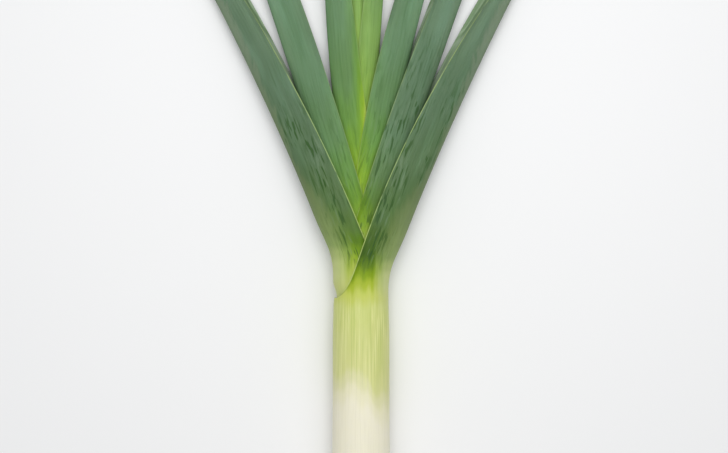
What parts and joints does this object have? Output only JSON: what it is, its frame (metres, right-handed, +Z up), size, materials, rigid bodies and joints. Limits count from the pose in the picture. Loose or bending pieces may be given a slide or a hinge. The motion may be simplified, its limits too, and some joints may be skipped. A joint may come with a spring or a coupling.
{
  "type": "leek",
  "caption": "Whole leek lying on its side: a white and pale green shaft of nested leaf sheaths, folded blades fanning out in one plane, and trimmed roots.",
  "frame": {"origin": "middle of the leek's footprint, on the table it lies on", "axes": "+Y along the shaft from the roots towards the leaves, +Z up from the table, +X to the right when seen from above with the leaves away from the viewer; the blades fan out in the XY plane"},
  "size_m": [0.2214, 0.4814, 0.0358],
  "materials": {
    "leaf_green": "waxy blue-green blade with lengthwise veins and a pale margin, turning yellow-green at its base; its sheath goes from pale green to cream white; satin on the sheath, matt with a waxy bloom on the blade",
    "heart_green": "bright yellow-green young leaf, satin, with fine lengthwise veins",
    "plate_cream": "cream stem tissue, dull",
    "root_buff": "buff, dry, fibrous, with a little soil colour"
  },
  "bodies": {
    "root": {"leaf_1": "leaf_green", "leaf_2": "leaf_green", "leaf_3": "leaf_green", "leaf_4": "leaf_green", "leaf_5": "leaf_green", "leaf_6": "leaf_green", "leaf_7": "heart_green", "leaf_8": "heart_green", "root_plate": "plate_cream", "root_01": "root_buff", "root_02": "root_buff", "root_03": "root_buff", "root_04": "root_buff", "root_05": "root_buff", "root_06": "root_buff", "root_07": "root_buff", "root_08": "root_buff", "root_09": "root_buff", "root_10": "root_buff", "root_11": "root_buff", "root_12": "root_buff", "root_13": "root_buff", "root_14": "root_buff", "root_15": "root_buff", "root_16": "root_buff", "root_17": "root_buff", "root_18": "root_buff", "root_19": "root_buff", "root_20": "root_buff", "root_21": "root_buff", "root_22": "root_buff", "root_23": "root_buff", "root_24": "root_buff"}
  },
  "joints": []
}
